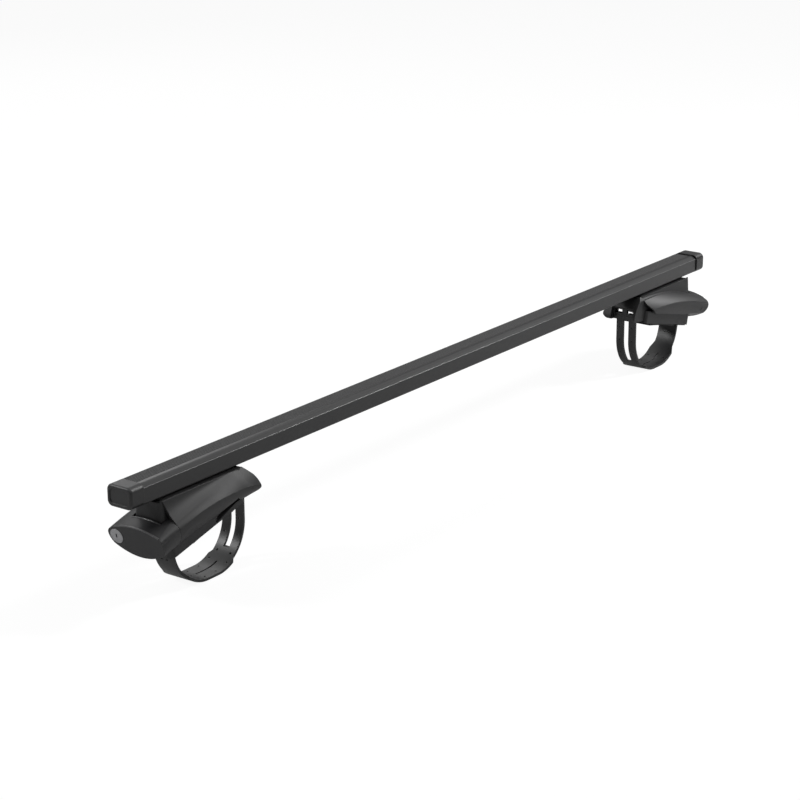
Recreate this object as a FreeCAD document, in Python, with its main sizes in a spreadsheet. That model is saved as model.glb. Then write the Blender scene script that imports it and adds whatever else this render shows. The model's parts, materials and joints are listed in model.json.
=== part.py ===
import FreeCAD, Part
import math
import os
from FreeCAD import Placement, Rotation, Vector

# Roof rack crossbar: a coated steel tube on two equal feet that clamp a raised roof rail.
# Millimetres. Origin: middle of the bar's top face, X along the bar, Z up.
# The right foot is modelled once in its own frame, x outwards and downwards along the foot,
# y across it with the lock at -y, z square to its base. The left foot is turned half a turn about Z.

SIZES = {
    "bar_length": 1180,
    "bar_width": 32,
    "bar_height": 22,
    "bar_wall": 1.6,
    "bar_corner": 5,
    "bar_coat": 0.3,
    "bolt_slot_width": 9,
    "bolt_slot_length": 24,
    "cap_width": 35,
    "cap_height": 25,
    "cap_corner": 7,
    "cap_sleeve": 15,
    "cap_end_wall": 5,
    "cap_clearance": 0.1,
    "cap_rim": 3,
    "cap_recess": 0.8,
    "cap_round": 3,
    "plug_length": 12,
    "plug_wall": 2,
    "foot_setback": 115,
    "foot_tilt": 14,
    "base_drop": 51,
    "seat_gap": 2.5,
    "seat_inner": 48,
    "seat_outer": 71,
    "seat_width": 24,
    "tower_inner": 54,
    "tower_outer": 77,
    "tower_width": 38,
    "tower_corner": 5,
    "tower_height": 28,
    "tower_draft": 3,
    "relief_length": 7,
    "relief_depth": 2.5,
    "relief_wall": 2.5,
    "base_inner": 52,
    "base_outer": 69,
    "base_width": 50,
    "base_height": 16,
    "base_corner": 4,
    "base_low": 1,
    "heel_inner": 42,
    "heel_width": 44,
    "heel_low": 2.5,
    "hood_inner": 78,
    "hood_outer": 91,
    "nose_top_half": 17,
    "nose_top": 32,
    "nose_ridge_lock": 26,
    "nose_ridge_plain": 29,
    "nose_ridge": 7,
    "nose_low_half": 24,
    "nose_low": -1.5,
    "nose_upper_end": 54,
    "nose_upper_height": 49.5,
    "nose_shoulder": 65.5,
    "nose_shoulder_height": 39,
    "nose_reach": 74.5,
    "nose_reach_height": 22.5,
    "nose_chin": 71,
    "nose_chin_height": 16,
    "nose_back": 60,
    "nose_back_height": 12.5,
    "mid_top_half": 19,
    "mid_top": 44,
    "mid_ridge_lock": 37,
    "mid_ridge_plain": 35,
    "mid_ridge": 31.5,
    "mid_low_half": 26,
    "mid_low": 10,
    "leaf_top_half": 33,
    "leaf_top": 38.5,
    "leaf_crown": 6,
    "leaf_ridge_lock": 41,
    "leaf_ridge_plain": 36,
    "leaf_ridge": 31,
    "leaf_low_half": 35,
    "leaf_low": 18,
    "leaf_belly": 9.5,
    "upper_bulge": 1.4,
    "lower_bulge": 1.8,
    "cover_wall": 3,
    "cover_clearance": 0.4,
    "cover_split": 21.5,
    "cover_seam": 62,
    "cover_skirt": 14,
    "seam_top": 63,
    "seam_high": 35,
    "seam_bend": 56,
    "seam_bend_height": 25,
    "seam_low": 36,
    "chute_width": 35,
    "chute_outer": 85,
    "chute_wall": 2.5,
    "chute_low": 12.5,
    "shelf_top": 34,
    "shelf_thickness": 4,
    "carriage_width": 28,
    "carriage_height": 9,
    "carriage_low": 13.5,
    "carriage_clearance": 0.4,
    "screw_radius": 3,
    "screw_position": 77,
    "screw_head_radius": 5,
    "screw_head_height": 6,
    "screw_hex": 5,
    "screw_clearance": 0.05,
    "washer_thickness": 1.5,
    "washer_radius": 6,
    "end_wall_outer": 65.5,
    "end_wall": 4.2,
    "window_width": 11.6,
    "window_top": 31,
    "window_pitch": 19,
    "sill_top": 21.7,
    "recess_width": 34,
    "cavity_inner": 38,
    "cavity_width": 33,
    "channel_half": 15.3,
    "channel_low": 8.4,
    "channel_height": 6.4,
    "channel_turn": 34.8,
    "channel_drop": 6.7,
    "strap_thickness": 3,
    "strap_hook": 25,
    "strap_hook_reach": 4.3,
    "strap_leg": 61,
    "strap_depth": 64,
    "strap_inner_radius": 50,
    "strap_outer_radius": 52,
    "strap_outer_centre": 5,
    "strap_width": 36,
    "finger_width": 30,
    "finger_slot": 8,
    "finger_slot_low": 46,
    "outer_leg_width": 28,
    "strap_hole": 1,
    "strap_hole_pitch": 18,
    "finger_hole_high": 4,
    "slit_width": 2,
    "pad_inner": 34,
    "pad_outer": 34,
    "pad_width": 44,
    "pad_thickness": 3,
    "pad_hollow": 1,
    "bolt_inner": 20,
    "bolt_outer": 40,
    "bolt_radius": 4,
    "bolt_hole": 4.4,
    "bolt_head_radius": 6.5,
    "bolt_head_height": 5,
    "bolt_hex": 6,
    "bolt_seat": 30,
    "bolt_bore": 8,
    "bolt_washer": 1.6,
    "bolt_washer_radius": 7.5,
    "plate_width": 21,
    "plate_thickness": 6,
    "plate_end": 12,
    "bolt_end": 4,
    "lock_y": 29.3,
    "lock_z": 28,
    "lock_radius": 8.7,
    "lock_face_proud": 0.4,
    "lock_head": 6,
    "lock_body_radius": 5,
    "lock_body_end": 70,
    "lock_gap": 0.08,
    "boss_radius": 10.2,
    "boss_inner": 77,
    "barrel_inner": 77.5,
    "key_slot_width": 1.8,
    "key_slot_length": 5,
    "key_slot_depth": 3,
    "cam_thickness": 3,
    "cam_reach": 6.8,
    "cam_width": 6,
    "cam_tip": 3,
    "tab_gap": 1,
    "tab_thickness": 3,
    "tab_reach": 23.9,
    "tab_height": 12,
}

doc = FreeCAD.newDocument("crossbar")
sheet = doc.addObject("Spreadsheet::Sheet", "sizes")
for row, (name, value) in enumerate(SIZES.items(), 1):
    sheet.set("A%d" % row, name)
    sheet.set("B%d" % row, str(value))
    sheet.setAlias("B%d" % row, name)
doc.recompute()
nodes = []


def s(name):
    """A size read from the sheet."""
    return float(sheet.get(name))


tilt = math.radians(s("foot_tilt"))


def lean(u, z):
    """A point of the upright foot frame, as (x, z) of the tilted one."""
    return (u * math.cos(tilt) - z * math.sin(tilt), u * math.sin(tilt) + z * math.cos(tilt))


def upright(u, z):
    """An attachment that stands upright inside the tilted frame."""
    x, height = lean(u, z)
    return Placement(Vector(x, 0, height), Rotation(Vector(0, 1, 0), -s("foot_tilt")))


def new_body(label):
    body = doc.addObject("PartDesign::Body", label)
    body.Label = label
    nodes.append(body)
    return body


def sketch(body, plane, offset=Placement()):
    """An empty sketch on one of the body's own origin planes."""
    drawing = body.newObject("Sketcher::SketchObject", "outline")
    support = [plane_object for plane_object in body.Origin.OriginFeatures if plane_object.Role == plane][0]
    drawing.AttachmentSupport = [(support, "")]
    drawing.MapMode = "FlatFace"
    drawing.AttachmentOffset = offset
    return drawing


def point(p):
    return Vector(p[0], p[1], 0)


def arc(start, middle, end):
    return Part.Arc(start, middle, end)


def parabola(start, middle, end):
    """A second-degree curve that passes the middle point halfway."""
    spline = Part.BSplineCurve()
    spline.buildFromPoles([start, middle * 2 - (start + end) * 0.5, end], False, 2)
    return spline


def draw(drawing, path, curve=arc):
    """A closed outline: points joined by lines, or by a curve through an item written (middle, end)."""
    last = path[0]
    for item in path[1:]:
        if isinstance(item[0], tuple):
            middle, end = item
            drawing.addGeometry(curve(point(last), point(middle), point(end)), False)
            last = end
        else:
            drawing.addGeometry(Part.LineSegment(point(last), point(item)), False)
            last = item
    if math.dist(last, path[0]) > 1e-6:
        drawing.addGeometry(Part.LineSegment(point(last), point(path[0])), False)
    return drawing


def rectangle(drawing, x0, x1, y0, y1):
    return draw(drawing, [(x0, y0), (x1, y0), (x1, y1), (x0, y1)])


def rounded(drawing, x0, x1, y0, y1, r):
    """A rectangle with round corners."""
    k = r * (1 - math.sqrt(0.5))
    return draw(drawing, [
        (x0 + r, y0), (x1 - r, y0), ((x1 - k, y0 + k), (x1, y0 + r)),
        (x1, y1 - r), ((x1 - k, y1 - k), (x1 - r, y1)),
        (x0 + r, y1), ((x0 + k, y1 - k), (x0, y1 - r)),
        (x0, y0 + r), ((x0 + k, y0 + k), (x0 + r, y0)),
    ])


def circle(drawing, x, y, r):
    drawing.addGeometry(Part.Circle(Vector(x, y, 0), Vector(0, 0, 1), r), False)
    return drawing


def pad(body, drawing, length, symmetric=False, back=False, taper=0):
    """Material grown from a sketch; length is a number or an expression on the sheet."""
    feature = body.newObject("PartDesign::Pad", "pad")
    return extrude(feature, drawing, length, symmetric, back, taper)


def pocket(body, drawing, length, symmetric=False, back=False):
    """Material cut along the sketch's normal, or against it where back is False."""
    feature = body.newObject("PartDesign::Pocket", "pocket")
    return extrude(feature, drawing, length, symmetric, back, 0)


def extrude(feature, drawing, length, symmetric, back, taper):
    feature.Profile = drawing
    feature.SideType = "Symmetric" if symmetric else "One side"
    feature.Reversed = back
    if isinstance(length, str):
        feature.setExpression("Length", length)
    else:
        feature.Length = length
    feature.TaperAngle = taper
    drawing.Visibility = False
    return feature


def at_bar(body, x=0):
    body.Placement = Placement(Vector(x, 0, -s("bar_height") / 2), Rotation())


def foot_middle():
    """The foot frame's x on the right-hand side."""
    return s("bar_length") / 2 - s("foot_setback")


def at_foot(body, side, tilted=True):
    """Puts a piece of the foot frame on the right foot, or on the left one half a turn away."""
    height = -s("bar_height") - s("base_drop")
    angle = s("foot_tilt") if tilted else 0
    place = Placement(Vector(foot_middle(), 0, height), Rotation(Vector(0, 1, 0), angle))
    if side == "left":
        place = Placement(Vector(), Rotation(Vector(0, 0, 1), 180)) * place
    body.Placement = place


# Bar

def crossbar():
    """The steel tube, with the plastic coat between the caps and the slots for the clamp bolts."""
    body = new_body("crossbar")
    w, d = s("bar_width") / 2, s("bar_height") / 2
    wall, r = s("bar_wall"), s("bar_corner")
    core_w, core_d, core_r = w - s("bar_coat"), d - s("bar_coat"), r - s("bar_coat")
    outline = sketch(body, "YZ_Plane")
    rounded(outline, -core_w, core_w, -core_d, core_d, core_r)
    rounded(outline, -w + wall, w - wall, -d + wall, d - wall, r - wall)
    pad(body, outline, "sizes.bar_length", symmetric=True)
    coat = sketch(body, "YZ_Plane")
    rounded(coat, -w, w, -d, d, r)
    rounded(coat, -core_w, core_w, -core_d, core_d, core_r)
    pad(body, coat, "sizes.bar_length - 2 * sizes.cap_sleeve", symmetric=True)
    slots = sketch(body, "XY_Plane")
    half_width, half_length = s("bolt_slot_width") / 2, s("bolt_slot_length") / 2
    for side in (-1, 1):
        for place in (-s("bolt_inner"), s("bolt_outer")):
            x = side * (foot_middle() + place)
            rounded(slots, x - half_length, x + half_length, -half_width, half_width, half_width * 0.95)
    pocket(body, slots, "sizes.bar_height")
    at_bar(body)


def end_cap(side):
    """A sleeve over the tube's end, closed by a wall with a sunk face, and a plug ring inside the tube."""
    body = new_body(side + "_end_cap")
    w, d, r = s("cap_width") / 2, s("cap_height") / 2, s("cap_corner")
    outer = rounded(sketch(body, "YZ_Plane"), -w, w, -d, d, r)
    pad(body, outer, "sizes.cap_sleeve + sizes.cap_end_wall")
    gap = s("cap_clearance")
    bw, bd, br = s("bar_width") / 2, s("bar_height") / 2, s("bar_corner")
    fit = gap - s("bar_coat")
    mouth = rounded(sketch(body, "YZ_Plane"), -bw - fit, bw + fit, -bd - fit, bd + fit, br + fit)
    pocket(body, mouth, "sizes.cap_sleeve", back=True)
    wall, plug = s("bar_wall"), s("plug_wall")
    seat = Placement(Vector(0, 0, s("cap_sleeve")), Rotation())
    ring = sketch(body, "YZ_Plane", seat)
    inner = bw - wall - gap, bd - wall - gap, br - wall
    rounded(ring, -inner[0], inner[0], -inner[1], inner[1], inner[2])
    rounded(ring, -inner[0] + plug, inner[0] - plug, -inner[1] + plug, inner[1] - plug, inner[2] - plug / 2)
    pad(body, ring, "sizes.plug_length", back=True)
    doc.recompute()
    end = s("cap_sleeve") + s("cap_end_wall")
    closed = body.Tip
    rim = body.newObject("PartDesign::Fillet", "rim")
    rim.Base = (closed, edges_at_x(closed.Shape, end))
    rim.setExpression("Radius", "sizes.cap_round")
    face = Placement(Vector(0, 0, end), Rotation())
    inset = s("cap_rim") + s("cap_round") / 2
    panel = rounded(sketch(body, "YZ_Plane", face), -w + inset, w - inset, -d + inset, d - inset, r - inset / 2)
    pocket(body, panel, "sizes.cap_recess")
    turn = 0 if side == "right" else 180
    place = Placement(Vector(s("bar_length") / 2 - s("cap_sleeve"), 0, -s("bar_height") / 2), Rotation())
    body.Placement = Placement(Vector(), Rotation(Vector(0, 0, 1), turn)) * place


def edges_at_x(shape, x):
    """Names of the outer edges that lie in the plane at x."""
    names = []
    for number, edge in enumerate(shape.Edges, 1):
        box = edge.BoundBox
        if abs(box.XMin - x) < 1e-4 and abs(box.XMax - x) < 1e-4:
            names.append("Edge%d" % number)
    return names


# Foot

def quadratic(nose, middle, leaf, t):
    """The value at t from 0 at the nose to 1 at the leaf, through its three set values."""
    return nose * (1 - t) * (1 - 2 * t) + middle * 4 * t * (1 - t) + leaf * t * (2 * t - 1)


def hood_section(t, inset):
    """The moulding's cross-section at t, in six arcs that meet in a ridge on each side, drawn inwards by a wall."""
    def along(name):
        return quadratic(s("nose_" + name), s("mid_" + name), s("leaf_" + name), t)

    top_half, top = along("top_half") - inset, along("top") - inset
    lock, plain = along("ridge_lock") - inset, along("ridge_plain") - inset
    ridge = along("ridge")
    low_half, low = along("low_half") - inset, along("low") + inset
    crown = 0.4 + s("leaf_crown") * max(0, 2 * t - 1) ** 2
    belly = 0.4 + s("leaf_belly") * max(0, 2 * t - 1) ** 2

    def upper(half):
        return ((top_half + half) / 2 + s("upper_bulge"), (top + ridge) / 2 + s("upper_bulge") / 2)

    def lower(half):
        return ((low_half + half) / 2 + s("lower_bulge"), (low + ridge) / 2)

    return [
        (-top_half, top),
        ((0, top + crown), (top_half, top)),
        (upper(plain), (plain, ridge)),
        (lower(plain), (low_half, low)),
        ((0, low - belly), (-low_half, low)),
        ((-lower(lock)[0], lower(lock)[1]), (-lock, ridge)),
        ((-upper(lock)[0], upper(lock)[1]), (-top_half, top)),
    ]


def hood_loft(body, kind, inset=0, inner=None, outer=None):
    """The moulding's long form, lofted through sections from the nose to the leaf."""
    first = -s("hood_inner") if inner is None else inner
    last = s("hood_outer") if outer is None else outer
    length = s("hood_inner") + s("hood_outer")
    sections = []
    count = 5
    for step in range(count):
        x = first + (last - first) * step / (count - 1)
        t = (x + s("hood_inner")) / length
        outline = sketch(body, "YZ_Plane", Placement(Vector(0, 0, x), Rotation()))
        sections.append(draw(outline, hood_section(t, inset), parabola))
    loft = body.newObject(kind, "moulding")
    loft.Profile = sections[0]
    loft.Sections = sections[1:]
    return loft


def round_nose(body):
    """The blunt profile of the moulding's inner end, cut across the foot in the upright frame."""
    profile = sketch(body, "XZ_Plane", on_xz())
    reach, height = s("nose_reach"), s("nose_reach_height")
    shoulder, shoulder_height = s("nose_shoulder"), s("nose_shoulder_height")
    chin, chin_height = s("nose_chin"), s("nose_chin_height")
    brow = (-(reach + shoulder) / 2 - 1.5, (height + shoulder_height) / 2 - 0.8)
    throat = (-(reach + chin) / 2 - 1, (height + chin_height) / 2 - 0.8)
    draw(profile, [
        (-200, 200), (-s("nose_upper_end"), 200), (-s("nose_upper_end"), s("nose_upper_height")),
        (-shoulder, shoulder_height), (brow, (-reach, height)), (throat, (-chin, chin_height)),
        (-s("nose_back"), s("nose_back_height")), (-s("nose_back"), -200), (-200, -200)])
    pocket(body, profile, 200, symmetric=True)


def foot_body(side):
    body = new_body(side + "_foot_body")
    hood_loft(body, "PartDesign::AdditiveLoft")
    round_nose(body)
    far = 200
    gap = s("cover_clearance")
    split, seam = -s("cover_split") + gap, s("cover_seam") - gap
    room = draw(sketch(body, "XY_Plane"), [
        (-far, split), (seam, split), (seam, far), (far, far), (far, -far), (-far, -far)])
    pocket(body, room, far, symmetric=True)
    tower(body)
    half = s("base_width") / 2
    base_place = Placement(Vector(0, 0, -s("base_low")), Rotation())
    base = sketch(body, "XY_Plane", base_place)
    rounded(base, -s("base_inner"), s("base_outer"), -half, half, s("base_corner"))
    pad(body, base, "sizes.base_height + sizes.base_low")
    half = s("heel_width") / 2
    heel = sketch(body, "XY_Plane", Placement(Vector(0, 0, -s("heel_low")), Rotation()))
    rounded(heel, s("heel_inner"), s("base_outer"), -half, half, s("base_corner"))
    pad(body, heel, "sizes.heel_low")
    half = s("chute_width") / 2
    chute_place = Placement(Vector(0, 0, s("chute_low")), Rotation())
    chute = rectangle(sketch(body, "XY_Plane", chute_place), 45, s("chute_outer"), -half, half)
    pad(body, chute, "sizes.shelf_top - sizes.chute_low")
    lock_tab(body)
    mechanism_room(body)
    hook_end(body)
    bolt_bores(body)
    at_foot(body, side)


def tower(body):
    """The drafted tower, with reliefs at both ends that leave thin cheeks."""
    top = s("base_drop") - s("seat_gap")
    half, r = s("tower_width") / 2, s("tower_corner")
    above = rectangle(sketch(body, "XY_Plane", upright(0, top)), -100, 100, -60, 60)
    pocket(body, above, 60, back=True)
    outline = sketch(body, "XY_Plane", upright(0, top))
    rounded(outline, -s("tower_inner"), s("tower_outer"), -half, half, r)
    pad(body, outline, "sizes.tower_height", back=True, taper=s("tower_draft"))
    cheek = half - s("relief_wall")
    for x0, x1 in ((-s("tower_inner") - 2, -s("tower_inner") + s("relief_length")),
                   (s("tower_outer") - s("relief_length"), s("tower_outer") + 2)):
        relief = rectangle(sketch(body, "XY_Plane", upright(0, top)), x0, x1, -cheek, cheek)
        pocket(body, relief, "sizes.relief_depth")


def lock_tab(body):
    """The tab behind which the lock's cam turns."""
    x = s("lock_body_end") + s("tab_gap")
    low = s("lock_z") - s("tab_height") / 2
    place = Placement(Vector(0, 0, low), Rotation())
    tab = rectangle(sketch(body, "XY_Plane", place), x, x + s("tab_thickness"), -s("tab_reach"), -10)
    pad(body, tab, "sizes.tab_height")


def mechanism_room(body):
    """The chute's inside for strap and carriage, and the screw's hole in the shelf."""
    half = s("carriage_width") / 2 + s("carriage_clearance")
    inner = strap_leg_x() - s("strap_thickness") - s("carriage_clearance")
    place = Placement(Vector(0, 0, s("shelf_top") - s("shelf_thickness")), Rotation())
    outline = sketch(body, "XY_Plane", place)
    rectangle(outline, inner, s("chute_outer") - s("chute_wall"), -half, half)
    pocket(body, outline, 60)
    hole = circle(sketch(body, "XY_Plane"), s("screw_position"), 0, s("screw_radius") + s("carriage_clearance"))
    pocket(body, hole, 60, back=True)


def hook_end(body):
    """The end wall: a sunk frame, two windows for the hooks, the room behind and a channel to the plain side."""
    half = s("recess_width") / 2
    frame = sketch(body, "XZ_Plane", on_xz())
    rectangle(frame, -120, -s("end_wall_outer"), -20, s("window_top") + 3)
    pocket(body, frame, 2 * half, symmetric=True)
    inner = s("end_wall_outer") - s("end_wall")
    room = sketch(body, "XZ_Plane", on_xz())
    draw(room, [(-inner, -40), (-inner, s("window_top")), (-s("cavity_inner") - 6, s("window_top")),
                (-s("cavity_inner"), s("window_top") - 8), (-s("cavity_inner"), -40)])
    pocket(body, room, "sizes.cavity_width", symmetric=True)
    for y in (-s("window_pitch") / 2, s("window_pitch") / 2):
        place = upright(-s("end_wall_outer") - 10, 0)
        turned = Placement(place.Base, place.Rotation)
        window = sketch(body, "XY_Plane", turned * Placement(Vector(), Rotation(Vector(0, 1, 0), 90)))
        half = s("window_width") / 2
        rectangle(window, -s("window_top"), -s("sill_top"), y - half, y + half)
        pocket(body, window, 30, back=True)
    channel = sketch(body, "YZ_Plane", Placement(Vector(0, 0, lean(-inner, 0)[0]), Rotation()))
    half, low = s("channel_half"), s("channel_low")
    rectangle(channel, -half, half, low, low + s("channel_height"))
    run = pocket(body, channel, 200)
    turn, drop = math.radians(s("channel_turn")), math.radians(s("channel_drop"))
    run.UseCustomVector = True
    run.Direction = Vector(math.cos(turn) * math.cos(drop), math.sin(turn) * math.cos(drop), -math.sin(drop))


def on_xz():
    """The upright frame, for a sketch on the XZ plane."""
    x, z = lean(0, 0)
    return Placement(Vector(x, z, 0), Rotation(Vector(0, 0, 1), s("foot_tilt")))


def bolt_bores(body):
    """Bores from below for the two clamp bolts, square to the bar."""
    for u in (-s("bolt_inner"), s("bolt_outer")):
        bore = circle(sketch(body, "XY_Plane", upright(u, s("bolt_seat"))), 0, 0, s("bolt_bore"))
        pocket(body, bore, 80)
        hole = circle(sketch(body, "XY_Plane", upright(u, 0)), 0, 0, s("bolt_hole"))
        pocket(body, hole, 80, back=True)


def cover(side):
    """The outer cover: the moulding's skin at the outer end and along the lock side."""
    body = new_body(side + "_cover")
    hood_loft(body, "PartDesign::AdditiveLoft")
    far = 200
    split, seam = -s("cover_split"), s("cover_seam")
    keep_out = rectangle(sketch(body, "XY_Plane"), -far, seam, split, far)
    pocket(body, keep_out, far, symmetric=True)
    wall = s("cover_wall")
    hood_loft(body, "PartDesign::SubtractiveLoft", wall, -s("hood_inner"), s("hood_outer") - wall)
    inner_end = draw(sketch(body, "XZ_Plane"), [
        (-far, far), (-s("seam_top"), far), (-s("seam_top"), s("seam_high")),
        (-s("seam_bend"), s("seam_bend_height")), (-s("seam_low"), s("cover_skirt") - 1),
        (-s("seam_low"), -far), (-far, -far)])
    pocket(body, inner_end, far, symmetric=True)
    skirt = rectangle(sketch(body, "XZ_Plane"), -far, s("base_outer") + 1, -far, s("cover_skirt"))
    pocket(body, skirt, far, symmetric=True)
    gap = s("cover_clearance")
    half = s("base_width") / 2 + gap
    over_base = Placement(Vector(0, 0, s("base_height") + gap), Rotation())
    pocket(body, rectangle(sketch(body, "XY_Plane", over_base), -far, s("base_outer") + gap, -half, half), 60)
    half = s("chute_width") / 2 + gap
    over_chute = Placement(Vector(0, 0, s("shelf_top") - s("shelf_thickness")), Rotation())
    pocket(body, rectangle(sketch(body, "XY_Plane", over_chute), 0, s("chute_outer") + gap, -half, half), 60)
    half = s("tower_width") / 2 + s("tower_height") * math.tan(math.radians(s("tower_draft"))) + gap
    notch_place = Placement(Vector(0, 0, s("shelf_top")), Rotation())
    notch = rectangle(sketch(body, "XY_Plane", notch_place), 0, tower_foot() + gap, -half, half)
    pocket(body, notch, 60, back=True)
    lock_boss(body)
    at_foot(body, side)


def tower_foot():
    """The tower's outermost x where it meets the cover."""
    drop = s("tower_height")
    reach = s("tower_outer") + drop * math.tan(math.radians(s("tower_draft")))
    return lean(reach, s("base_drop") - s("seat_gap") - drop)[0]


def lock_boss(body):
    y, z = -s("lock_y"), s("lock_z")
    boss_place = Placement(Vector(0, 0, s("boss_inner")), Rotation())
    boss = circle(sketch(body, "YZ_Plane", boss_place), y, z, s("boss_radius"))
    pad(body, boss, s("hood_outer") - s("boss_inner") - 1)
    bore_place = Placement(Vector(0, 0, s("boss_inner") - 1), Rotation())
    bore = circle(sketch(body, "YZ_Plane", bore_place), y, z, s("lock_radius") + s("lock_gap"))
    pocket(body, bore, 40, back=True)


def lock_barrel(side):
    """The sleeve that holds the key cylinder in the cover."""
    body = new_body(side + "_lock_barrel")
    y, z = -s("lock_y"), s("lock_z")
    end = s("hood_outer") + s("lock_face_proud") - s("lock_head")
    ring = sketch(body, "YZ_Plane", Placement(Vector(0, 0, s("barrel_inner")), Rotation()))
    circle(ring, y, z, s("lock_radius"))
    circle(ring, y, z, s("lock_body_radius") + s("lock_gap"))
    pad(body, ring, end - s("lock_gap") - s("barrel_inner"))
    at_foot(body, side)


def lock_cylinder(side):
    """The key cylinder: a broad face with a key slot, and a slim body that carries the cam."""
    body = new_body(side + "_lock_cylinder")
    y, z = -s("lock_y"), s("lock_z")
    face = s("hood_outer") + s("lock_face_proud")
    shank = circle(sketch(body, "YZ_Plane", Placement(Vector(0, 0, s("lock_body_end")), Rotation())),
                   y, z, s("lock_body_radius"))
    pad(body, shank, face - s("lock_head") - s("lock_body_end") + 1)
    head = circle(sketch(body, "YZ_Plane", Placement(Vector(0, 0, face - s("lock_head")), Rotation())),
                  y, z, s("lock_radius"))
    pad(body, head, "sizes.lock_head")
    half_width, half_length = s("key_slot_width") / 2, s("key_slot_length") / 2
    slot = rectangle(sketch(body, "YZ_Plane", Placement(Vector(0, 0, face), Rotation())),
                     y - half_width, y + half_width, z - half_length, z + half_length)
    pocket(body, slot, "sizes.key_slot_depth")
    at_foot(body, side)


def lock_cam(side):
    """The cam, pointing down when unlocked."""
    body = new_body(side + "_lock_cam")
    y, z = -s("lock_y"), s("lock_z")
    half = s("cam_width") / 2
    place = Placement(Vector(0, 0, s("lock_body_end") - s("cam_thickness")), Rotation())
    tip = s("cam_tip") / 2
    outline = draw(sketch(body, "YZ_Plane", place), [
        (y - tip, z - s("cam_reach")), (y + tip, z - s("cam_reach")), (y + half, z),
        ((y, z + half), (y - half, z))])
    pad(body, outline, "sizes.cam_thickness")
    at_foot(body, side)


def rail_pad(side):
    """The rubber pad on the rail, hollowed across and bored for the clamp bolts."""
    body = new_body(side + "_rail_pad")
    thick, hollow = s("pad_thickness"), s("pad_hollow")
    middle = (s("pad_outer") - s("pad_inner")) / 2
    top = -s("base_low")
    outline = draw(sketch(body, "XZ_Plane"), [
        (-s("pad_inner"), top), (-s("pad_inner"), top - thick),
        ((middle, top + hollow - thick), (s("pad_outer"), top - thick)), (s("pad_outer"), top)])
    pad(body, outline, "sizes.pad_width", symmetric=True)
    for u in (-s("bolt_inner"), s("bolt_outer")):
        bore = circle(sketch(body, "XY_Plane", upright(u, 0)), 0, 0, s("bolt_bore") + 0.5)
        pocket(body, bore, 60, symmetric=True)
    at_foot(body, side)


def strap_leg_x():
    """The outer leg's outer face, as x of the tilted frame."""
    reach = s("strap_outer_radius")
    u = s("strap_outer_centre") + reach * math.cos(tilt)
    z = -s("strap_depth") + reach - reach * math.sin(tilt)
    return lean(u, z)[0]


def strap(side):
    """The band round the rail: hooked fingers at the inner end, drawn up at the outer end."""
    body = new_body(side + "_strap")
    t, leg, depth = s("strap_thickness"), s("strap_leg"), s("strap_depth")
    r1, r2, c2 = s("strap_inner_radius"), s("strap_outer_radius"), s("strap_outer_centre")
    c1 = -leg + r1
    hook, reach = s("strap_hook"), s("strap_hook_reach")
    end = s("carriage_low") + s("carriage_height")
    along = (math.sin(tilt), math.cos(tilt))

    def arc_point(centre, r, angle, size):
        return (centre + size * math.cos(angle), -depth + r + size * math.sin(angle))

    low = -math.pi / 2
    last = -tilt
    outer_end = arc_point(c2, r2, last, r2)
    rise = (end - lean(*outer_end)[1])
    tip_outer = (outer_end[0] + rise * along[0], outer_end[1] + rise * along[1])
    tip_inner = (tip_outer[0] - t * along[1], tip_outer[1] + t * along[0])
    outline = draw(sketch(body, "XZ_Plane"), [
        (-leg + t, hook), (-leg - reach, hook), (-leg - reach, hook - t), (-leg, hook - t), (-leg, -depth + r1),
        (arc_point(c1, r1, -0.75 * math.pi, r1), (c1, -depth)), (c2, -depth),
        (arc_point(c2, r2, (low + last) / 2, r2), outer_end), tip_outer, tip_inner,
        arc_point(c2, r2, last, r2 - t),
        (arc_point(c2, r2, (low + last) / 2, r2 - t), (c2, -depth + t)), (c1, -depth + t),
        (arc_point(c1, r1, -0.75 * math.pi, r1 - t), (-leg + t, -depth + r1))])
    pad(body, outline, "sizes.strap_width", symmetric=True)
    full, finger, outer = s("strap_width") / 2, s("finger_width") / 2, s("outer_leg_width") / 2
    far = 90
    for sign in (-1, 1):
        trim = draw(sketch(body, "XY_Plane"), [
            (-far, sign * finger), (-leg + r1 / 2 - 4, sign * finger), (-leg + r1 / 2, sign * full),
            (c2 + r2 * 0.6, sign * full), (c2 + r2 * 0.75, sign * outer), (far, sign * outer),
            (far, sign * 30), (-far, sign * 30)])
        pocket(body, trim, 300, symmetric=True)
    strap_holes(body)
    at_foot(body, side, tilted=False)


def strap_holes(body):
    """The slot between the fingers, the small holes and the slits."""
    half = s("finger_slot") / 2
    slot = rectangle(sketch(body, "YZ_Plane"), -half, half, -s("finger_slot_low"), s("strap_hook") + 5)
    pocket(body, slot, 100)
    side = s("finger_slot") / 2 + (s("finger_width") - s("finger_slot")) / 4
    hole, pitch = s("strap_hole"), s("strap_hole_pitch")
    holes = sketch(body, "YZ_Plane")
    for step in range(4):
        for y in (-side, side):
            circle(holes, y, s("finger_hole_high") - step * pitch, hole)
    pocket(body, holes, 100)
    outer_holes = sketch(body, "YZ_Plane")
    for y in (-3.5, 3.5):
        circle(outer_holes, y, -s("strap_depth") + 2 * pitch, hole)
    pocket(body, outer_holes, 100, back=True)
    bottom = sketch(body, "XY_Plane")
    slit = s("slit_width") / 2
    rounded(bottom, -30, 6, -slit, slit, slit * 0.95)
    rounded(bottom, 12, 30, -slit, slit, slit * 0.95)
    for x in (-31, -13, 5, 23):
        for y in (-12.5, 12.5):
            circle(bottom, x, y, hole)
    pocket(body, bottom, 100)


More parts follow.
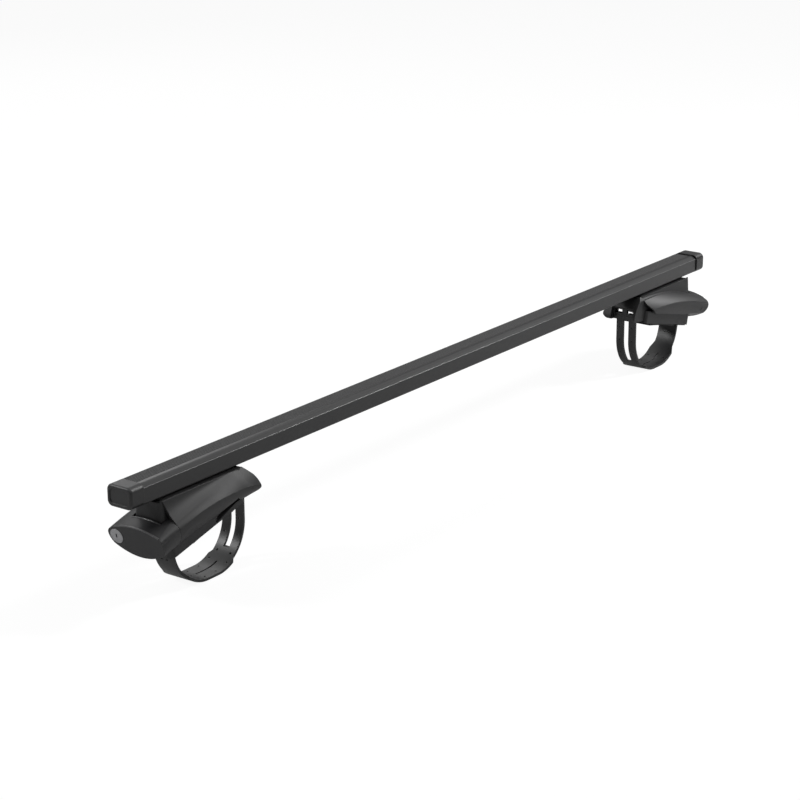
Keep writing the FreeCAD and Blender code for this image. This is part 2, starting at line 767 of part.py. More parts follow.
def strap_carriage(side):
    """The steel block between strap and screw."""
    body = new_body(side + "_strap_carriage")
    half = s("carriage_width") / 2
    inner = strap_leg_x()
    outer = s("chute_outer") - s("chute_wall") - s("carriage_clearance")
    place = Placement(Vector(0, 0, s("carriage_low")), Rotation())
    block = rounded(sketch(body, "XY_Plane", place), inner, outer, -half, half, 1.5)
    pad(body, block, "sizes.carriage_height")
    bore = circle(sketch(body, "XY_Plane"), s("screw_position"), 0, s("screw_radius") + s("screw_clearance"))
    pocket(body, bore, 60, back=True)
    at_foot(body, side)


def hex_cut(body, place, across, depth):
    """A hexagon socket sunk below a plane."""
    r = across / math.sqrt(3)
    corners = [(r * math.cos(math.pi * k / 3), r * math.sin(math.pi * k / 3)) for k in range(6)]
    pocket(body, draw(sketch(body, "XY_Plane", place), corners), depth)


def tension_screw(side):
    body = new_body(side + "_tension_screw")
    x = s("screw_position")
    seat = s("shelf_top") + s("washer_thickness")
    low = s("chute_low") + 1
    shank = circle(sketch(body, "XY_Plane", Placement(Vector(0, 0, low), Rotation())), x, 0, s("screw_radius"))
    pad(body, shank, seat - low + 1)
    head_place = Placement(Vector(0, 0, seat), Rotation())
    head = circle(sketch(body, "XY_Plane", head_place), x, 0, s("screw_head_radius"))
    pad(body, head, "sizes.screw_head_height")
    top = Placement(Vector(x, 0, seat + s("screw_head_height")), Rotation())
    hex_cut(body, top, s("screw_hex"), s("screw_head_height") * 0.6)
    at_foot(body, side)


def screw_washer(side):
    body = new_body(side + "_screw_washer")
    x = s("screw_position")
    ring = sketch(body, "XY_Plane", Placement(Vector(0, 0, s("shelf_top")), Rotation()))
    circle(ring, x, 0, s("washer_radius"))
    circle(ring, x, 0, s("screw_radius") + s("screw_clearance"))
    pad(body, ring, "sizes.washer_thickness")
    at_foot(body, side)


def bar_seat(side):
    """The pad between tower and bar, set back from the tower's ends."""
    body = new_body(side + "_bar_seat")
    half = s("seat_width") / 2
    place = Placement(Vector(0, 0, s("base_drop") - s("seat_gap")), Rotation())
    outline = sketch(body, "XY_Plane", place)
    rounded(outline, -s("seat_inner"), s("seat_outer"), -half, half, 4)
    for u in (-s("bolt_inner"), s("bolt_outer")):
        circle(outline, u, 0, s("bolt_hole"))
    pad(body, outline, "sizes.seat_gap")
    at_foot(body, side, tilted=False)


def clamp_plate(side):
    """The plate inside the bar that the clamp bolts pull down."""
    body = new_body(side + "_clamp_plate")
    half = s("plate_width") / 2
    place = Placement(Vector(0, 0, s("base_drop") + s("bar_wall")), Rotation())
    outline = sketch(body, "XY_Plane", place)
    end = s("plate_end")
    rounded(outline, -s("bolt_inner") - end, s("bolt_outer") + end, -half, half, 3)
    for u in (-s("bolt_inner"), s("bolt_outer")):
        circle(outline, u, 0, s("bolt_radius") + s("screw_clearance"))
    pad(body, outline, "sizes.plate_thickness")
    at_foot(body, side, tilted=False)


def group(label, shapes, side, tilted=False):
    """Equal small pieces as one node of separate solids."""
    feature = doc.addObject("Part::Feature", label)
    feature.Label = label
    feature.Shape = Part.makeCompound(shapes)
    nodes.append(feature)
    at_foot(feature, side, tilted)


def clamp_bolts(side):
    """Two socket head bolts, from below through tower, seat and bar into the plate."""
    shapes = []
    seat = s("bolt_seat") - s("bolt_washer")
    top = s("base_drop") + s("bar_wall") + s("plate_thickness") + s("bolt_end")
    for u in (-s("bolt_inner"), s("bolt_outer")):
        head_low = seat - s("bolt_head_height")
        head = Part.makeCylinder(s("bolt_head_radius"), s("bolt_head_height"), Vector(u, 0, head_low))
        shank = Part.makeCylinder(s("bolt_radius"), top - seat, Vector(u, 0, seat))
        r = s("bolt_hex") / math.sqrt(3)
        corners = [Vector(u + r * math.cos(math.pi * k / 3), r * math.sin(math.pi * k / 3), head_low)
                   for k in range(7)]
        socket = Part.Face(Part.makePolygon(corners)).extrude(Vector(0, 0, s("bolt_head_height") * 0.6))
        shapes.append(head.fuse(shank).cut(socket).removeSplitter())
    group(side + "_clamp_bolts", shapes, side)


def clamp_washers(side):
    shapes = []
    for u in (-s("bolt_inner"), s("bolt_outer")):
        low = Vector(u, 0, s("bolt_seat") - s("bolt_washer"))
        disc = Part.makeCylinder(s("bolt_washer_radius"), s("bolt_washer"), low)
        hole = Part.makeCylinder(s("bolt_radius") + s("screw_clearance"), s("bolt_washer"), low)
        shapes.append(disc.cut(hole))
    group(side + "_clamp_washers", shapes, side)


def strap_rivets(side):
    """Two rivets through the strap's end into the carriage."""
    shapes = []
    x = strap_leg_x()
    z = s("carriage_low") + s("carriage_height") / 2
    thick = s("strap_thickness")
    for y in (-8, 8):
        head = Part.makeCylinder(3, 0.3, Vector(x - thick - 0.3, y, z), Vector(1, 0, 0))
        shapes.append(head)
    group(side + "_strap_rivets", shapes, side, tilted=True)


crossbar()
for side in ("left", "right"):
    end_cap(side)
    foot_body(side)
    cover(side)
    lock_barrel(side)
    lock_cylinder(side)
    lock_cam(side)
    rail_pad(side)
    strap(side)
    strap_carriage(side)
    strap_rivets(side)
    tension_screw(side)
    screw_washer(side)
    bar_seat(side)
    clamp_plate(side)
    clamp_bolts(side)
    clamp_washers(side)
doc.recompute()

for item in doc.Objects:
    if "Invalid" in item.State or "Error" in item.State:
        raise RuntimeError("%s of %s failed: %s" % (item.Name, item.Label, item.State))
for node in nodes:
    if node.Shape.isNull() or not node.Shape.isValid() or not node.Shape.Solids:
        raise RuntimeError(node.Label + " has no valid solid")

os.makedirs("parts", exist_ok=True)
for node in nodes:
    node.Shape.exportStep("parts/" + node.Label + ".step")
    print(node.Label, len(node.Shape.Solids), "solid", round(node.Shape.Volume / 1000, 2), "cm3")
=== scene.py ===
import json
import math
import bmesh
import bpy
import numpy as np
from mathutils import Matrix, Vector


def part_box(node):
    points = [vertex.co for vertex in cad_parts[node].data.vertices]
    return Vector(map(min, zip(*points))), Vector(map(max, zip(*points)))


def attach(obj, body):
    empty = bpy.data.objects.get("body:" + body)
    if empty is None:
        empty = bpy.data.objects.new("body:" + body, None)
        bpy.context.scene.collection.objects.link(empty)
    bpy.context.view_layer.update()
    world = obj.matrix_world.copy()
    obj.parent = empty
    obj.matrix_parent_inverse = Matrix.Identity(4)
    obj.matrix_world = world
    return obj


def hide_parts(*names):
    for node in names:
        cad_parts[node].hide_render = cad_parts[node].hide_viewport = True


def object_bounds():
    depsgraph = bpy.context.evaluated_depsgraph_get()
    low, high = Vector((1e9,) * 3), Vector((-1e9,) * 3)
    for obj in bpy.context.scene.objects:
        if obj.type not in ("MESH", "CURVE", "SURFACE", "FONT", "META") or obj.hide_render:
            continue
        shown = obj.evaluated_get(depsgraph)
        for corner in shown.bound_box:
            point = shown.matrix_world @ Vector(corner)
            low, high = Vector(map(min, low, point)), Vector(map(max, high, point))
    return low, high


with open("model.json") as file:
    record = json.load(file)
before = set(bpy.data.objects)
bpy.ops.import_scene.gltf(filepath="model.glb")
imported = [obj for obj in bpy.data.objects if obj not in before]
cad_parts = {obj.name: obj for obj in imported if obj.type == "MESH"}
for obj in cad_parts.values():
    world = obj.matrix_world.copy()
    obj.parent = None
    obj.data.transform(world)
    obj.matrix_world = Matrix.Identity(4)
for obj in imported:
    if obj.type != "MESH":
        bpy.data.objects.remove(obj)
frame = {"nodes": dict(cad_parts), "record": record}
cadBox = [list(map(float, corner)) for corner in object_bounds()]
scene = bpy.context.scene
mm = 0.001
print("frame loaded:", len(frame["nodes"]), "nodes")


# Camera and light

view = {
    "place": (-2.22809, -1.57372, 0.82746),    # metres
    "turn": (71.9204, 0.3141, -53.5331),       # degrees
    "lens": 104.585,                           # mm on a 36 mm sensor
}

camera = bpy.data.objects.new("camera", bpy.data.cameras.new("camera"))
scene.collection.objects.link(camera)
camera.location = view["place"]
camera.rotation_euler = [math.radians(angle) for angle in view["turn"]]
camera.data.sensor_width = 36
camera.data.lens = view["lens"]
camera.data.clip_start = 0.05
camera.data.clip_end = 60
scene.camera = camera
scene.view_settings.view_transform = "Standard"


def toLinear(hexColour):
    # an sRGB hex value as the linear colour that a shader takes
    values = [int(hexColour[i:i + 2], 16) / 255 for i in (1, 3, 5)]
    return [v / 12.92 if v <= 0.04045 else ((v + 0.055) / 1.055) ** 2.4 for v in values] + [1.0]


def addNode(tree, kind, links=(), **settings):
    # one node with its settings; links are (own input, other node, its output)
    node = tree.nodes.new(kind)
    for name, value in settings.items():
        if name in node.inputs:
            node.inputs[name].default_value = value
        elif hasattr(node, name):
            setattr(node, name, value)
        else:
            node.inputs[name.replace("_", " ")].default_value = value
    for slot, other, output in links:
        tree.links.new(other.outputs[output], node.inputs[slot])
    return node


def seenShare(tree, mirror):
    # how much of the backdrop's white a ray sees: the largest of camera, transmission and glossy x mirror
    rays = addNode(tree, "ShaderNodeLightPath")
    straight = [(0, rays, "Is Camera Ray"), (1, rays, "Is Transmission Ray")]
    direct = addNode(tree, "ShaderNodeMath", straight, operation="MAXIMUM")
    glossy = [(0, rays, "Is Glossy Ray"), (1, mirror, 0)]
    mirrored = addNode(tree, "ShaderNodeMath", glossy, operation="MULTIPLY")
    return addNode(tree, "ShaderNodeMath", [(0, direct, 0), (1, mirrored, 0)], operation="MAXIMUM")


studio = {
    "skyLight": 0.18,         # light that the room gives the object
    "skyShown": 1.0,          # what the camera sees behind the object
    "horizon": (0.3, 0.6),    # between these heights of direction a glossy surface sees it grow white
    "keyWatts": 38,
    "keyPlace": (1.9, -1.1, 1.5),
    "keySize": 0.5,
    "backWatts": 7,
    "backPlace": (1.5, 2.4, 1.35),
    "backSize": 1.3,
    "rimWatts": 20,
    "rimPlace": (-1.9, 1.5, 1.4),
    "rimSize": 0.5,
}

world = bpy.data.worlds.new("studio")
scene.world = world
world.use_nodes = True
tree = world.node_tree
tree.nodes.clear()
toward = addNode(tree, "ShaderNodeTexCoord")
axes = addNode(tree, "ShaderNodeSeparateXYZ", [("Vector", toward, "Generated")])
climb = addNode(tree, "ShaderNodeMapRange", [("Value", axes, "Z")], interpolation_type="SMOOTHSTEP")
climb.inputs["From Min"].default_value = studio["horizon"][0]
climb.inputs["From Max"].default_value = studio["horizon"][1]
seen = seenShare(tree, climb)
dim = addNode(tree, "ShaderNodeBackground", Color=(1, 1, 1, 1), Strength=studio["skyLight"])
bright = addNode(tree, "ShaderNodeBackground", Color=(1, 1, 1, 1), Strength=studio["skyShown"])
mixed = addNode(tree, "ShaderNodeMixShader", [(0, seen, 0), (1, dim, 0), (2, bright, 0)])
addNode(tree, "ShaderNodeOutputWorld", [("Surface", mixed, 0)])


def addLamp(name, place, target, size, watts):
    # a disk lamp whose beam, its own -Z, is turned from its place to the target
    lamp = bpy.data.objects.new(name, bpy.data.lights.new(name, "AREA"))
    scene.collection.objects.link(lamp)
    lamp.data.shape = "DISK"
    lamp.data.size = size
    lamp.data.energy = watts
    lamp.location = place
    toward = np.array(target) - np.array(place)
    flat = math.hypot(toward[0], toward[1])
    lamp.rotation_euler = (math.atan2(flat, -toward[2]), 0, math.atan2(toward[1], toward[0]) - math.pi / 2)


addLamp("keyLamp", studio["keyPlace"], (0, 0, 0), studio["keySize"], studio["keyWatts"])
addLamp("backLamp", studio["backPlace"], (0, 0, 0), studio["backSize"], studio["backWatts"])
addLamp("rimLamp", studio["rimPlace"], (-0.5, 0, -0.05), studio["rimSize"], studio["rimWatts"])


def sheetMesh(name, x, y, z, material):
    # a grid of points in metres, given as three arrays of the same shape, joined by four-sided faces
    rows, columns = x.shape
    points = np.stack([x, y, z], axis=-1).reshape(-1, 3)
    index = np.arange(rows * columns).reshape(rows, columns)
    corners = index[:-1, :-1], index[:-1, 1:], index[1:, 1:], index[1:, :-1]
    faces = np.stack(corners, axis=-1).reshape(-1, 4)
    mesh = bpy.data.meshes.new(name)
    mesh.from_pydata(points.tolist(), [], faces.tolist())
    mesh.polygons.foreach_set("use_smooth", np.ones(len(faces), bool))
    piece = bpy.data.objects.new(name, mesh)
    scene.collection.objects.link(piece)
    mesh.materials.append(material)
    return piece


creaseAngle = 42          # degrees; a new piece is smooth where its faces turn by less


def shellMesh(name, x, y, z, material):
    # rings of points closed to a shell: each end ring runs to its own middle, where its points are merged,
    # and so are the points along the seam; then all faces are turned outwards
    x, y, z = [
        np.concatenate([np.full_like(v[:1], v[0].mean()), v, np.full_like(v[-1:], v[-1].mean())])
        for v in (x, y, z)
    ]
    piece = sheetMesh(name, x, y, z, material)
    shell = bmesh.new()
    shell.from_mesh(piece.data)
    bmesh.ops.remove_doubles(shell, verts=shell.verts, dist=0.002 * mm)
    bmesh.ops.recalc_face_normals(shell, faces=shell.faces)
    shell.to_mesh(piece.data)
    shell.free()
    piece.data.set_sharp_from_angle(angle=math.radians(creaseAngle))
    return piece


floorLook = {
    "colour": "#f4f4f4",
    "glow": 1.12,         # strength of its own white
    "share": 0.82,        # how much of what the camera sees is that white; the rest takes the shadow
    "mirrored": 0.12,     # how much of that share a glossy surface sees
    "half": 9,            # half its side in metres
}

floorMaterial = bpy.data.materials.new("paleFloor")
floorMaterial.use_nodes = True
tree = floorMaterial.node_tree
tree.nodes.clear()
mirror = addNode(tree, "ShaderNodeValue")
mirror.outputs[0].default_value = floorLook["mirrored"]
seen = seenShare(tree, mirror)
share = addNode(tree, "ShaderNodeMath", [(0, seen, 0)], operation="MULTIPLY")
share.inputs[1].default_value = floorLook["share"]
paint = addNode(tree, "ShaderNodeBsdfDiffuse", Color=toLinear(floorLook["colour"]))
glow = addNode(tree, "ShaderNodeEmission", Color=(1, 1, 1, 1), Strength=floorLook["glow"])
mixed = addNode(tree, "ShaderNodeMixShader", [(0, share, 0), (1, paint, 0), (2, glow, 0)])
addNode(tree, "ShaderNodeOutputMaterial", [("Surface", mixed, 0)])

reach = np.linspace(-floorLook["half"], floorLook["half"], 3)
floorX, floorY = np.meshgrid(reach, reach, indexing="ij")
floor = sheetMesh("floor", floorX, floorY, np.full_like(floorX, cadBox[0][2]), floorMaterial)
print("camera, light and floor set")


# Materials

def newMaterial(name):
    # a material and its node tree, still empty
    material = bpy.data.materials.new(name)
    material.use_nodes = True
    material.node_tree.nodes.clear()
    return material, material.node_tree


def dress(nodeNames, material):
    # the named CAD nodes take this material alone
    for name in nodeNames:
        mesh = frame["nodes"][name].data
        mesh.materials.clear()
        mesh.materials.append(material)


def bothSides(*names):
    # the names of these nodes in the left foot, then in the right one
    return [side + "_" + name for side in ("left", "right") for name in names]


def scaleOf(spacing):
    # a noise's scale from the spacing of its grains in mm
    return 1 / (spacing * mm)


def cloudyTone(tree, spot, scale, detail, span, look):
    # a slow noise and its tone: dark below the span, light above it and a straight blend within it
    cloud = addNode(tree, "ShaderNodeTexNoise", spot, Scale=scale, Detail=detail)
    tone = addNode(tree, "ShaderNodeValToRGB", [("Fac", cloud, 0)])
    for stop, position, shade in zip(tone.color_ramp.elements, span, ("dark", "light")):
        stop.position = position
        stop.color = toLinear(look[shade])
    return cloud, tone


handling = 0.04           # how far touch and weather vary a moulding's roughness


# moulded glass-filled polyamide: near-black, dull, with the fine pebble of an eroded mould
# in mm: grain is the pebble's spacing, coarser than the real one so that it shows, and depth its depth;
# cloud is the spacing of the slow change in tone and roughness, and edge rounds the corners
def mouldedPolyamide(name, look):
    material, tree = newMaterial(name)
    place = addNode(tree, "ShaderNodeTexCoord")
    spot = [("Vector", place, "Object")]
    grain = addNode(tree, "ShaderNodeTexNoise", spot, Scale=scaleOf(look["grain"]), Detail=3, Roughness=0.6)
    cloud, tone = cloudyTone(tree, spot, scaleOf(look["cloud"]), 4, (0.35, 0.65), look)
    sheen = addNode(tree, "ShaderNodeMapRange", [("Value", cloud, 0)])
    sheen.inputs["To Min"].default_value = look["rough"] - handling
    sheen.inputs["To Max"].default_value = look["rough"] + handling
    edge = addNode(tree, "ShaderNodeBevel", Radius=look["edge"] * mm, samples=4)
    relief = [("Height", grain, 0), ("Normal", edge, 0)]
    bump = addNode(tree, "ShaderNodeBump", relief, Distance=look["depth"] * mm, Strength=0.6)
    finish = [("Base Color", tone, 0), ("Roughness", sheen, 0), ("Normal", bump, 0)]
    skin = addNode(tree, "ShaderNodeBsdfPrincipled", finish, IOR=1.53)
    addNode(tree, "ShaderNodeOutputMaterial", [("Surface", skin, 0)])
    return material


footLook = {
    "grain": 0.7, "cloud": 30, "dark": "#131314", "light": "#181819",
    "rough": 0.56, "edge": 0.9, "depth": 0.05,
}
coverLook = {
    "grain": 0.8, "cloud": 35, "dark": "#18181a", "light": "#1e1e1f",
    "rough": 0.48, "edge": 0.9, "depth": 0.05,
}
capLook = {
    "grain": 0.6, "cloud": 20, "dark": "#161617", "light": "#1a1a1b",
    "rough": 0.42, "edge": 0.8, "depth": 0.03,
}
footSkin = mouldedPolyamide("mouldedPolyamideFoot", footLook)
coverSkin = mouldedPolyamide("mouldedPolyamideCover", coverLook)
capSkin = mouldedPolyamide("mouldedPolyamideCap", capLook)
dress(bothSides("foot_body"), footSkin)
dress(bothSides("cover"), coverSkin)
dress(bothSides("end_cap"), capSkin)


# extruded plastic skin on steel tube: satin black, the ribbed back part duller than the smooth track
# places are in mm on the section: Y is positive at the back, and Z is 0 at the top
# the grain is drawn coarser than the real one, so that it shows
def coatedTube(name, look):
    material, tree = newMaterial(name)
    place = addNode(tree, "ShaderNodeTexCoord")
    axes = addNode(tree, "ShaderNodeSeparateXYZ", [("Vector", place, "Object")])
    back = addNode(tree, "ShaderNodeMapRange", [("Value", axes, "Y")])
    back.inputs["From Min"].default_value = (look["ribFront"] - look["ribBlend"]) * mm
    back.inputs["From Max"].default_value = (look["ribFront"] + look["ribBlend"]) * mm
    upper = addNode(tree, "ShaderNodeMath", [(0, axes, "Z")], operation="GREATER_THAN")
    upper.inputs[1].default_value = look["topLow"] * mm
    zone = addNode(tree, "ShaderNodeMath", [(0, back, 0), (1, upper, 0)], operation="MULTIPLY")
    spot = [("Vector", place, "Object")]
    grain = addNode(tree, "ShaderNodeTexNoise", spot, Scale=scaleOf(look["grain"]), Detail=3)
    relief = [("Height", grain, 0)]
    bump = addNode(tree, "ShaderNodeBump", relief, Distance=look["grainDepth"] * mm, Strength=0.5)
    cloud, tone = cloudyTone(tree, spot, look["cloudScale"], 5, (0.35, 0.65), look)
    # on the front edge: a near-black line of painted shade, and under it a lighter line of painted
    # highlight
    paint = tone, 0
    front = addNode(tree, "ShaderNodeMath", [(0, axes, "Y")], operation="LESS_THAN")
    front.inputs[1].default_value = look["paintedLinesBack"] * mm
    for limit, colour in (("highlightLineLow", "paintedHighlightColour"), ("shadeLineLow", "paintedShadeColour"), ("shadeLineHigh", None)):
        above = addNode(tree, "ShaderNodeMath", [(0, axes, "Z")], operation="GREATER_THAN")
        above.inputs[1].default_value = look[limit] * mm
        band = addNode(tree, "ShaderNodeMath", [(0, above, 0), (1, front, 0)], operation="MULTIPLY")
        layer = addNode(tree, "ShaderNodeMix", [(0, band, 0), (6, *paint)], data_type="RGBA")
        if colour:
            layer.inputs[7].default_value = toLinear(look[colour])
        else:
            tree.links.new(tone.outputs[0], layer.inputs[7])
        paint = layer, 2
    sheen = addNode(tree, "ShaderNodeMath", [(0, zone, 0)], operation="MULTIPLY_ADD")
    sheen.inputs[1].default_value = look["ribRough"]
    sheen.inputs[2].default_value = look["rough"]
    finish = [("Base Color", *paint), ("Roughness", sheen, 0), ("Normal", bump, 0)]
    skin = addNode(tree, "ShaderNodeBsdfPrincipled", finish, IOR=1.5)
    addNode(tree, "ShaderNodeOutputMaterial", [("Surface", skin, 0)])
    return material


barLook = {
    "dark": "#161617",
    "light": "#1c1c1d",
    "rough": 0.31,
    "ribRough": 0.1,          # how much duller the ribbed part is
    "ribFront": -5,
    "ribBlend": 0.5,
    "topLow": -1.4,
    # from this Y forwards, a band of painted shade on the front edge and a band of painted highlight under
    # it
    "paintedLinesBack": -14.5,
    "shadeLineHigh": -2.7,
    "shadeLineLow": -3.3,
    "paintedShadeColour": "#040404",
    "highlightLineLow": -4.0,
    "paintedHighlightColour": "#5c5c5d",
    "grain": 0.5,
    "grainDepth": 0.04,
    "cloudScale": 12,         # patches of tone about 80 mm long
}
tubeSkin = coatedTube("coatedTube", barLook)
dress(["crossbar"], tubeSkin)


# dipped vinyl on spring steel: deep black, soft satin, slightly wavy
strapLook = {
    "grain": 1.2, "cloud": 25, "dark": "#141415", "light": "#1b1b1c",
    "rough": 0.4, "edge": 0.7, "depth": 0.06,
}
strapSkin = mouldedPolyamide("dippedVinyl", strapLook)
dress(bothSides("strap"), strapSkin)

# moulded rubber: black and dull
rubberLook = {
    "grain": 0.5, "cloud": 15, "dark": "#121212", "light": "#181818",
    "rough": 0.72, "edge": 0.5, "depth": 0.05,
}
rubberSkin = mouldedPolyamide("mouldedRubber", rubberLook)
dress(bothSides("rail_pad", "bar_seat"), rubberSkin)


# zinc: grey metal with a soft glint, die-cast and polished for the lock, plated for the screws
# in mm: grain and depth are those of the scratches, drawn coarser than the real ones so that they show;
# cloud is the spacing of the slow change in tone, and edge rounds the corners
def platedMetal(name, look):
    material, tree = newMaterial(name)
    place = addNode(tree, "ShaderNodeTexCoord")
    spot = [("Vector", place, "Object")]
    cloud, tone = cloudyTone(tree, spot, scaleOf(look["cloud"]), 5, (0.3, 0.7), look)
    scratch = addNode(tree, "ShaderNodeTexNoise", spot, Scale=scaleOf(look["grain"]), Detail=2)
    edge = addNode(tree, "ShaderNodeBevel", Radius=look["edge"] * mm, samples=4)
    relief = [("Height", scratch, 0), ("Normal", edge, 0)]
    bump = addNode(tree, "ShaderNodeBump", relief, Distance=look["depth"] * mm, Strength=0.5)
    finish = [("Base Color", tone, 0), ("Normal", bump, 0)]
    skin = addNode(tree, "ShaderNodeBsdfPrincipled", finish, Metallic=1.0, Roughness=look["rough"])
    addNode(tree, "ShaderNodeOutputMaterial", [("Surface", skin, 0)])
    return material


lockLook = {
    "grain": 0.4, "cloud": 6, "dark": "#9a9a9c", "light": "#b4b4b6",
    "rough": 0.38, "edge": 0.5, "depth": 0.02,
}
steelLook = {
    "grain": 0.4, "cloud": 8, "dark": "#8d8d8c", "light": "#a8a8a4",
    "rough": 0.34, "edge": 0.3, "depth": 0.02,
}
dress(bothSides("lock_cylinder", "lock_barrel"), platedMetal("dieCastZinc", lockLook))
hardware = bothSides(
    "lock_cam", "strap_carriage", "strap_rivets", "tension_screw",
    "screw_washer", "clamp_plate", "clamp_bolts", "clamp_washers",
)
dress(hardware, platedMetal("platedSteel", steelLook))
print("CAD nodes dressed")


# Pieces that the solids show too plainly

# the coat between the caps, in mm: ribs on the back part of the top, a smooth track and crisp edges
tubeLow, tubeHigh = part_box("crossbar")
barForm = {
    "halfLength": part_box("right_end_cap")[0][0] / mm,
    "halfWidth": tubeHigh[1] / mm,
    "height": -tubeLow[2] / mm,
    "ribPitch": 2.8,
    "ribDepth": 0.6,
    "ribCount": 7,
    "track": -5.0,        # where the ribs end and the smooth track begins
    "sweepStart": 8,      # where the track starts to fall towards the front
    "frontSweep": 8.5,    # radius of that fall
    "stepTurn": 33,       # degrees that it turns
    "frontEdge": 0.85,    # radii of the corners
    "backEdge": 1.4,
    "lowEdge": 1.8,
    "flat": 0.12,         # a point this far beside each arc keeps the flats flat
}


def arc(centreY, centreZ, radius, first, last, count=7):
    # points of an arc: y = cy + r cos, z = cz + r sin
    angle = np.radians(np.linspace(first, last, count))
    return np.stack([centreY + radius * np.cos(angle), centreZ + radius * np.sin(angle)], axis=1)


def barOutline(form):
    # the section once round: back corner, ribs, track, sweep, front edge, front, underside, back
    w, h, flat = form["halfWidth"], form["height"], form["flat"]
    edge, sweep, back, low = form["frontEdge"], form["frontSweep"], form["backEdge"], form["lowEdge"]
    # ribs: z = -depth (1 - cos(2 pi (y - track) / pitch)) / 2
    ribBack = form["track"] + form["ribPitch"] * form["ribCount"]
    ribY = np.linspace(ribBack, form["track"], 12 * form["ribCount"])
    ribZ = -form["ribDepth"] * (1 - np.cos(2 * np.pi * (ribY - form["track"]) / form["ribPitch"])) / 2
    # the sweep turns by stepTurn, runs on straight, and the edge takes up its tangent
    turn = 90 + form["stepTurn"]
    cosine, sine = math.cos(math.radians(turn)), math.sin(math.radians(turn))
    sweepY = -form["sweepStart"]
    run = sweepY + sweep * cosine - (-w + edge + edge * cosine)
    edgeZ = -sweep + sweep * sine - run * math.tan(math.radians(form["stepTurn"])) - edge * sine
    return np.concatenate([
        arc(w - back, -back, back, 0, 90),
        np.stack([ribY, ribZ], axis=1),
        [(form["track"] - flat, 0), (sweepY + flat, 0)],
        arc(sweepY, -sweep, sweep, 90, turn, 15),
        arc(-w + edge, edgeZ, edge, turn, 180),
        [(-w, edgeZ - flat), (-w, -h + low + flat)],
        arc(-w + low, -h + low, low, 180, 270),
        [(-w + low + flat, -h), (w - low - flat, -h)],
        arc(w - low, -h + low, low, 270, 360),
        [(w, -h + low + flat), (w, -back - flat), (w, -back)],
    ])


outline = barOutline(barForm) * mm
stations = np.linspace(-barForm["halfLength"], barForm["halfLength"], 25)[:, None] * mm
barX, barY = np.broadcast_arrays(stations, outline[:, 0])
barZ = outline[:, 1] + 0 * stations
bar = shellMesh("ribbedBar", barX, barY, barZ, tubeSkin)
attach(bar, "bar")
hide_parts("crossbar")
print("bar coated")


# the foot's moulding in its own tilted frame, in mm: values at the nose, the middle and the leaf
mountPlaces = {mount["name"]: mount["pos_m"] for mount in frame["record"]["mounts"]}
hood = {
    "inner": -78,                      # the nose
    "outer": 91,                       # the leaf
    "topHalf": (17, 19, 33),           # half width of the top
    "top": (32, 44, 38.5),             # height of the top's edge
    "ridgePlain": (29, 35, 36),        # how far out the ridge of the plain side lies
    "ridge": (7, 31.5, 31),            # and how high
    "crown": 6,
    "crownLeast": 0.4,
    "tilt": 14,                        # degrees
    "middle": mountPlaces["right_rail_clamp"][0] / mm,
    "drop": 73,                        # the frame's origin lies this far below the bar's top
}
lean = math.radians(hood["tilt"])


def shareAt(a):
    # 0 at the nose, 1 at the leaf
    return (a - hood["inner"]) / (hood["outer"] - hood["inner"])


def along(name, a):
    # parabola through the three values: nose (1-t)(1-2t) + 4 middle t (1-t) + leaf t (2t-1)
    t = shareAt(a)
    nose, middle, leaf = hood[name]
    return nose * (1 - t) * (1 - 2 * t) + 4 * middle * t * (1 - t) + leaf * t * (2 * t - 1)


def topAt(a, y):
    # height of the moulding's top: its edge plus a crown that falls off as a parabola across the foot
    rise = hood["crownLeast"] + hood["crown"] * np.maximum(0, 2 * shareAt(a) - 1) ** 2
    return along("top", a) + rise * (1 - (y / along("topHalf", a)) ** 2)


def fromFoot(side, a, y, b):
    # tilted foot frame in mm to the row frame in metres; the left foot is the right one turned half round
    x = hood["middle"] + a * math.cos(lean) + b * math.sin(lean)
    z = -hood["drop"] - a * math.sin(lean) + b * math.cos(lean)
    turn = 1 if side == "right" else -1
    return turn * x * mm, turn * y * mm, z * mm


# the shoulder: a wall down from the tower's top edge to a crease, then a slope out to the ridge
shoulderForm = {
    "from": -64,
    "to": 61.3,
    "topEdge": 48.3,
    "towerHalf": 19.3,
    "noseHalf": 16.6,
    "fullFrom": -50,      # from there on the top edge is as wide as the tower
    "topShift": 11,       # how far the tilt moves the top edge outwards
    "wallFrom": -35,      # the wall starts there, along the level top
    "wallFall": 0.15,     # and grows by this much for each mm outwards
    "wallDraft": 0.05,    # and leans out by this much for each mm down
    "bulge": 2.6,         # how far the slope swells out
    "ridgeGap": 0.15,     # over the solid's ridge
    "inside": 8,          # how far the closing points lie inside the foot
    "underTop": 0.2,      # and how far the upper one lies below the top edge
}


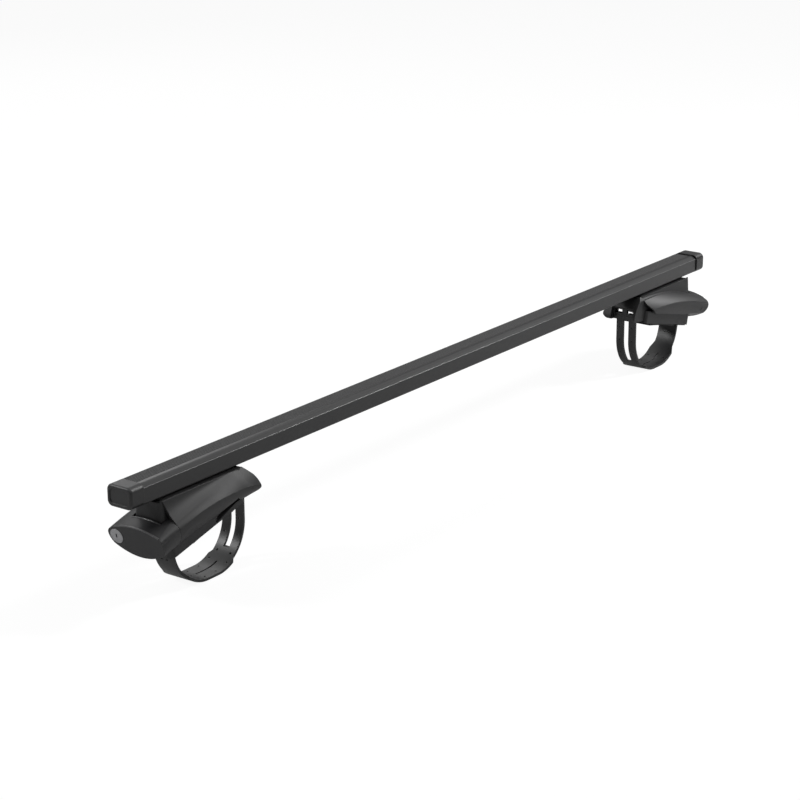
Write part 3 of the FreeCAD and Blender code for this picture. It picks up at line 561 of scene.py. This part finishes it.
def shoulderGrid(form):
    # a runs along the foot, q from 0 at the top edge to 1 at the ridge
    a = np.linspace(form["from"], form["to"], 60)[:, None]
    q = np.linspace(0, 1, 25)[None, :]
    # the top edge is level: b = a tan(tilt) + top / cos(tilt)
    topB = a * math.tan(lean) + form["topEdge"] / math.cos(lean)
    near = np.clip((a - form["from"]) / (form["fullFrom"] - form["from"]), 0, 1)
    topY = form["noseHalf"] + (form["towerHalf"] - form["noseHalf"]) * near
    wall = np.maximum(0, a + form["topShift"] - form["wallFrom"]) * form["wallFall"]
    creaseY, creaseB = topY + form["wallDraft"] * wall, topB - wall / math.cos(lean)
    ridgeY, ridgeB = along("ridgePlain", a) + form["ridgeGap"], along("ridge", a)
    slopeY, slopeB = ridgeY - creaseY, ridgeB - creaseB
    length = np.hypot(slopeY, slopeB)
    outY, outB = -slopeB / length * form["bulge"], slopeY / length * form["bulge"]
    bellyY, bellyB = creaseY + 0.5 * slopeY + outY, creaseB + 0.5 * slopeB + outB
    # cubic curve: (1-q)^3 top + 3 q (1-q)^2 crease + 3 q^2 (1-q) belly + q^3 ridge
    weights = (1 - q) ** 3, 3 * q * (1 - q) ** 2, 3 * q ** 2 * (1 - q), q ** 3
    y = weights[0] * topY + weights[1] * creaseY + weights[2] * bellyY + weights[3] * ridgeY
    b = weights[0] * topB + weights[1] * creaseB + weights[2] * bellyB + weights[3] * ridgeB
    return a + 0 * q, y, b


for side in ("left", "right"):
    a, y, b = shoulderGrid(shoulderForm)
    # each section closes through two points inside the foot, and then at its first point again
    inner = shoulderForm["inside"]
    a = np.concatenate([a, a[:, :3]], axis=1)
    y = np.concatenate([y, y[:, -1:] - inner, y[:, :1] - inner / 2, y[:, :1]], axis=1)
    b = np.concatenate([b, b[:, -1:], b[:, :1] - shoulderForm["underTop"], b[:, :1]], axis=1)
    shoulder = shellMesh(side + "Shoulder", *fromFoot(side, a, y, b), footSkin)
    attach(shoulder, "bar")


# rounded lips on the cover, round the leaf's face and along the notch for the tower, lighter than the cover
# as a painted highlight
lipForm = {
    "leafAt": 90.2,
    "leafFrom": -31.5,
    "leafTo": 32,
    "notchAt": 72.6,
    "notchHalf": 20.5,
    "radius": 1.0,
    "sunk": 0.3,          # how far the lip's middle lies under the surface
}

# the lips' polyamide: lighter in colour as a painted highlight along the cover's edges, and smoother
lipHighlightLook = {
    "grain": 0.8, "cloud": 35, "dark": "#4a4a4b", "light": "#5c5c5d",
    "rough": 0.3, "edge": 0.9, "depth": 0.05,
}
lipHighlightSkin = mouldedPolyamide("paintedLipHighlight", lipHighlightLook)


def lipMesh(name, a, y, b, radius, side):
    # a tube round a path: centre + r (cos n + sin m), with n square to the path and m along the foot
    path = np.stack([y, b], axis=1)
    run = np.gradient(path, axis=0)
    run /= np.linalg.norm(run, axis=1)[:, None]
    angle = np.linspace(0, 2 * np.pi, 13)[None, :]
    ringY = path[:, :1] - radius * run[:, 1:] * np.cos(angle)
    ringB = path[:, 1:] + radius * run[:, :1] * np.cos(angle)
    ringA = a[:, None] + radius * np.sin(angle)
    lip = shellMesh(name, *fromFoot(side, ringA, ringY, ringB), lipHighlightSkin)
    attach(lip, side + "_cover")


for side in ("left", "right"):
    y = np.linspace(lipForm["leafFrom"], lipForm["leafTo"], 48)
    a = np.full_like(y, lipForm["leafAt"])
    lipMesh(side + "LeafLip", a, y, topAt(a, y) - lipForm["sunk"], lipForm["radius"], side)
    y = np.linspace(-lipForm["notchHalf"], lipForm["notchHalf"], 32)
    a = np.full_like(y, lipForm["notchAt"])
    lipMesh(side + "NotchLip", a, y, topAt(a, y) - lipForm["sunk"], lipForm["radius"], side)
print("shoulders and lips made")
